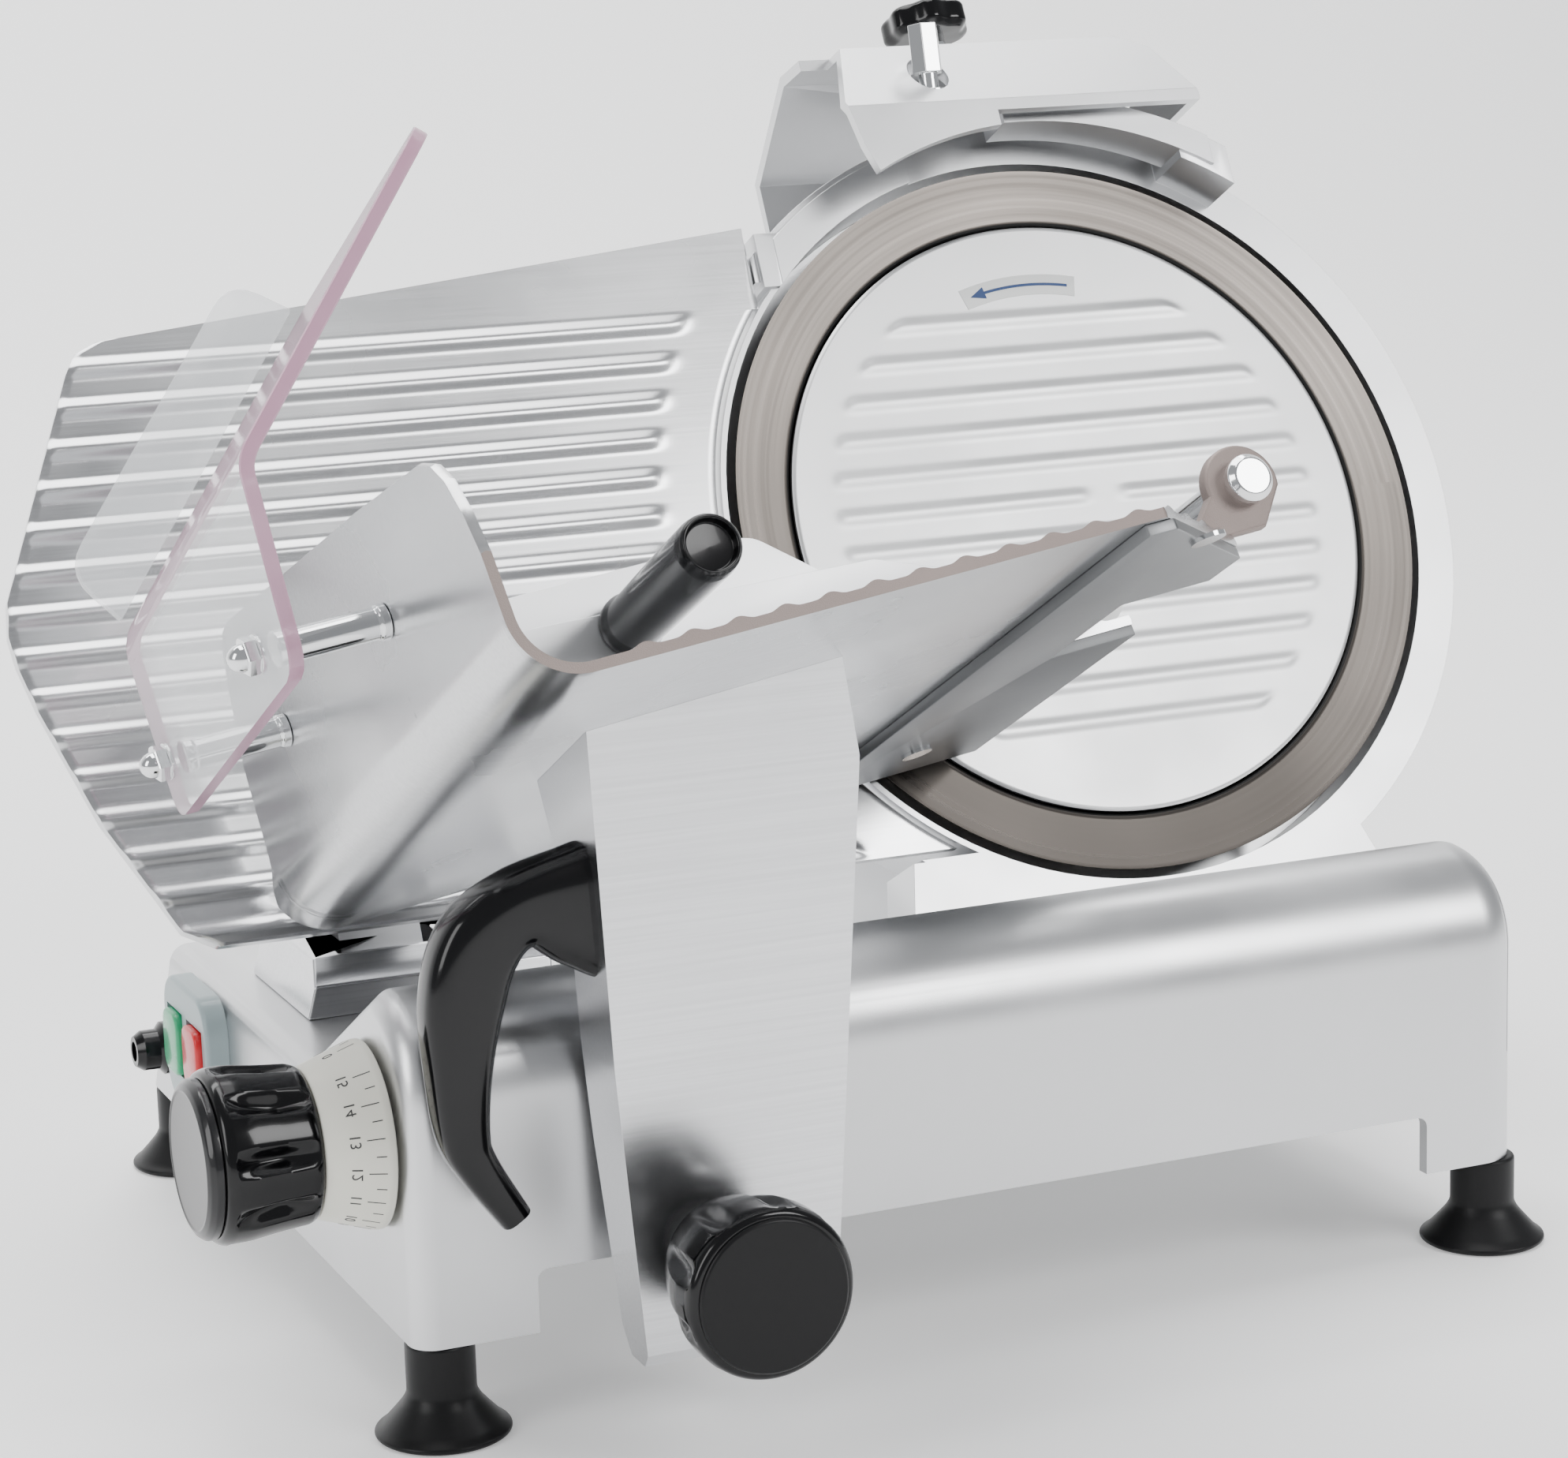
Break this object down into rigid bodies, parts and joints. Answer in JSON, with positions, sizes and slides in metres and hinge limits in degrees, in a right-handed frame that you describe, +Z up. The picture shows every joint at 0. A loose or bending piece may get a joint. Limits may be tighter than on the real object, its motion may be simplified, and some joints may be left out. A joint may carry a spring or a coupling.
{
  "type": "deli meat slicer",
  "caption": "Gravity-feed deli meat slicer with a leaning round blade, ribbed gauge plate, food tray with pusher and clear hand guard, sharpener and dial",
  "frame": {"origin": "on the bench, under the middle of the overall bounding box", "axes": "+X along the carriage travel, from the dial end to the far end of the blade; +Y from the carriage side to the slice side; +Z up from the bench"},
  "size_m": [0.6107, 0.5025, 0.4561],
  "materials": {
    "satin_cast": "satin",
    "polished_cast": "polished",
    "brushed_plate": "satin",
    "zinc_steel": "satin",
    "black_rubber": "matte",
    "ground_steel": "satin",
    "black_paint": "satin",
    "blade_steel": "polished",
    "black_plastic": "gloss",
    "green_plastic": "gloss",
    "red_plastic": "gloss",
    "grey_plastic": "matte",
    "cream_plastic": "matte",
    "brass_bush": "satin",
    "bright_steel": "polished",
    "clear_acrylic": "clear",
    "white_nylon": "matte",
    "stone": "matte"
  },
  "bodies": {
    "machine_frame": {"base_housing": "satin_cast", "blade_bearings": "ground_steel", "blade_housing": "satin_cast", "bottom_plate": "zinc_steel", "cable_gland": "black_plastic", "disc_cover": "brushed_plate", "drive_belt": "black_rubber", "foot_bolts": "zinc_steel", "gauge_guide_rods": "ground_steel", "gauge_rail": "satin_cast", "guide_bar": "ground_steel", "motor_body": "black_paint", "motor_bracket": "zinc_steel", "motor_cover": "satin_cast", "rod_brackets": "satin_cast", "rubber_feet": "black_rubber", "slide_rod": "ground_steel", "switch_housing": "black_plastic"},
    "blade": {"blade": "blade_steel", "blade_hub": "satin_cast", "blade_shaft": "ground_steel", "blade_pulley": "zinc_steel", "blade_screws": "zinc_steel"},
    "rotor": {"motor_rotor": "ground_steel", "motor_pulley": "zinc_steel"},
    "tie": {"tie_rod": "ground_steel", "tie_rod_knob": "black_plastic"},
    "gauge": {"gauge_plate": "brushed_plate", "gauge_bracket": "satin_cast"},
    "dial": {"dial_knob": "black_plastic", "dial_cap": "grey_plastic", "dial_scale": "cream_plastic", "dial_spindle": "ground_steel"},
    "carriage": {"carriage_arm": "polished_cast", "slide_block": "satin_cast", "slide_bushings": "brass_bush", "tray": "brushed_plate", "tray_strip": "brushed_plate", "strip_screws": "bright_steel", "carriage_handle": "black_plastic", "hand_guard": "clear_acrylic", "guard_posts": "bright_steel", "acorn_nuts": "bright_steel", "pusher_rod": "bright_steel", "rod_end_bolt": "bright_steel"},
    "lock": {"lock_knob": "black_plastic", "lock_stud": "bright_steel"},
    "pusher_slide": {"pusher_bush": "white_nylon"},
    "pusher": {"pusher_arm": "satin_cast", "pusher_plate": "satin_cast", "pusher_handle": "black_plastic"},
    "sharpener": {"sharpener_cover": "satin_cast", "sharpener_post": "bright_steel"},
    "sharpener_clamp": {"sharpener_knob": "black_plastic"},
    "grinder": {"grinding_stone": "stone"},
    "honer": {"honing_stone": "stone"},
    "grind_pin": {"sharpening_pin": "bright_steel"},
    "hone_pin": {"honing_pin": "bright_steel"},
    "start": {"start_button": "green_plastic"},
    "stop": {"stop_button": "red_plastic"}
  },
  "joints": [
    {"name": "blade_spin", "type": "hinge", "parent": "machine_frame", "child": "blade", "pos_m": [0.1353, 0.0888, 0.25], "axis": [0, -0.891, 0.454], "continuous": true},
    {"name": "motor_spin", "type": "hinge", "parent": "machine_frame", "child": "rotor", "pos_m": [0.1353, 0.13023, 0.11105], "axis": [0, -0.891, 0.454], "continuous": true},
    {"name": "tie_rod_turn", "type": "hinge", "parent": "machine_frame", "child": "tie", "pos_m": [0.1353, 0.1779, 0.2046], "axis": [0, -0.891, 0.454], "range_deg": [0, 360]},
    {"name": "gauge_travel", "type": "slide", "parent": "machine_frame", "child": "gauge", "axis": [0, 0.891, -0.454], "range_m": [0, 0.015]},
    {"name": "dial_turn", "type": "hinge", "parent": "machine_frame", "child": "dial", "pos_m": [-0.2357, -0.1052, 0.099], "axis": [-1, 0, 0], "range_deg": [0, 330]},
    {"name": "carriage_travel", "type": "slide", "parent": "machine_frame", "child": "carriage", "axis": [1, 0, 0], "range_m": [0, 0.25]},
    {"name": "tray_lock_turn", "type": "hinge", "parent": "carriage", "child": "lock", "pos_m": [-0.1447, -0.1762, 0.066], "axis": [0, -1, 0], "range_deg": [-180, 180]},
    {"name": "pusher_travel", "type": "slide", "parent": "carriage", "child": "pusher_slide", "axis": [0, -0.891, 0.454], "range_m": [-0.065, 0.11]},
    {"name": "pusher_swing", "type": "hinge", "parent": "pusher_slide", "child": "pusher", "pos_m": [0.06589, -0.03209, 0.233], "axis": [0, 0.891, -0.454], "range_deg": [0, 150]},
    {"name": "sharpener_lift", "type": "slide", "parent": "machine_frame", "child": "sharpener", "axis": [0, 0.454, 0.891], "range_m": [0, 0.04]},
    {"name": "sharpener_clamp_turn", "type": "hinge", "parent": "sharpener", "child": "sharpener_clamp", "pos_m": [0.1363, 0.23113, 0.44123], "axis": [0, 0.454, 0.891], "range_deg": [-180, 180]},
    {"name": "grinding_spin", "type": "hinge", "parent": "sharpener", "child": "grinder", "pos_m": [0.1583, 0.20613, 0.38775], "axis": [0, -0.891, 0.454], "continuous": true},
    {"name": "honing_spin", "type": "hinge", "parent": "sharpener", "child": "honer", "pos_m": [0.1963, 0.20613, 0.38775], "axis": [0, -0.891, 0.454], "continuous": true},
    {"name": "grind_press", "type": "slide", "parent": "sharpener", "child": "grind_pin", "axis": [0, -0.225, -0.9744], "range_m": [0, 0.005], "stiffness_N_per_m": 120},
    {"name": "hone_press", "type": "slide", "parent": "sharpener", "child": "hone_pin", "axis": [0, -0.6561, -0.7547], "range_m": [0, 0.005], "stiffness_N_per_m": 120},
    {"name": "start_press", "type": "slide", "parent": "machine_frame", "child": "start", "axis": [1, 0, 0], "range_m": [0, 0.0028], "stiffness_N_per_m": 300},
    {"name": "stop_press", "type": "slide", "parent": "machine_frame", "child": "stop", "axis": [1, 0, 0], "range_m": [0, 0.0028], "stiffness_N_per_m": 300}
  ],
  "couplings": [
    {"joint": "motor_spin", "follows": "blade_spin", "ratio": 2.5333},
    {"joint": "dial_turn", "follows": "gauge_travel", "rad_per_m": 383.97}
  ]
}
